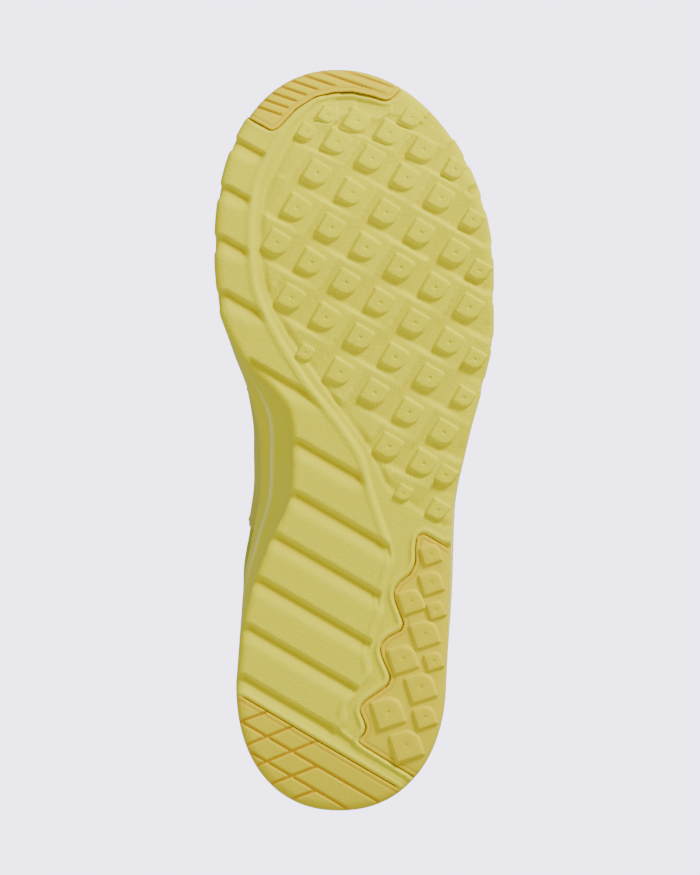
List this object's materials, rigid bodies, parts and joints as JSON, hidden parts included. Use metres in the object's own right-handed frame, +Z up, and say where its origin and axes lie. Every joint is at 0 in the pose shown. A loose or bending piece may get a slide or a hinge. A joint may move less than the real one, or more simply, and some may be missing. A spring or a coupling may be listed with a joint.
{
  "type": "running shoe",
  "caption": "Left running shoe: cushioned foam sole with D-lug forefoot, ribbed arch and rubber inserts under a mesh upper with padded collar and tongue.",
  "frame": {"origin": "on the ground, under the middle of the shoe's length and width", "axes": "+Z up; toe towards -Y, heel towards +Y; lateral side +X, medial side -X"},
  "size_m": [0.1122, 0.3008, 0.126],
  "materials": {
    "foam_tread": "matt foam rubber with a fine leather-like grain",
    "foam_midsole": "matt moulded foam",
    "rubber_insert": "matt solid rubber",
    "upper_mesh": "knitted mesh",
    "overlay": "matt welded film with stitched edges",
    "lining": "brushed knit lining",
    "padding": "open-cell foam",
    "board": "non-woven fibre board",
    "stiffener": "thermoplastic sheet"
  },
  "bodies": {
    "shoe": {"outsole_tread": "foam_tread", "toe_rubber": "rubber_insert", "heel_lateral_rubber": "rubber_insert", "heel_rear_rubber": "rubber_insert", "midsole": "foam_midsole", "strobel_board": "board", "vamp_lining": "lining", "quarter_lining": "lining", "toe_puff": "stiffener", "heel_counter": "stiffener", "vamp": "upper_mesh", "toe_overlay": "overlay", "heel_overlay": "overlay", "quarter_lateral": "upper_mesh", "quarter_medial": "upper_mesh", "eyestay_lateral": "overlay", "eyestay_medial": "overlay", "saddle_lateral": "overlay", "saddle_medial": "overlay", "collar_foam": "padding", "collar_lining": "lining", "collar_binding": "overlay", "tongue_lower": "upper_mesh"},
    "tongue_top": {"tongue_upper": "upper_mesh"},
    "insole": {"sockliner": "lining"}
  },
  "joints": [
    {"name": "tongue_fold", "type": "hinge", "parent": "shoe", "child": "tongue_top", "pos_m": [-0.0024, 0.034, 0.105], "axis": [1, 0, 0], "range_deg": [0, 55]},
    {"name": "sockliner_lift", "type": "hinge", "parent": "shoe", "child": "insole", "pos_m": [0, -0.138, 0.033], "axis": [1, 0, 0], "range_deg": [0, 4]}
  ]
}
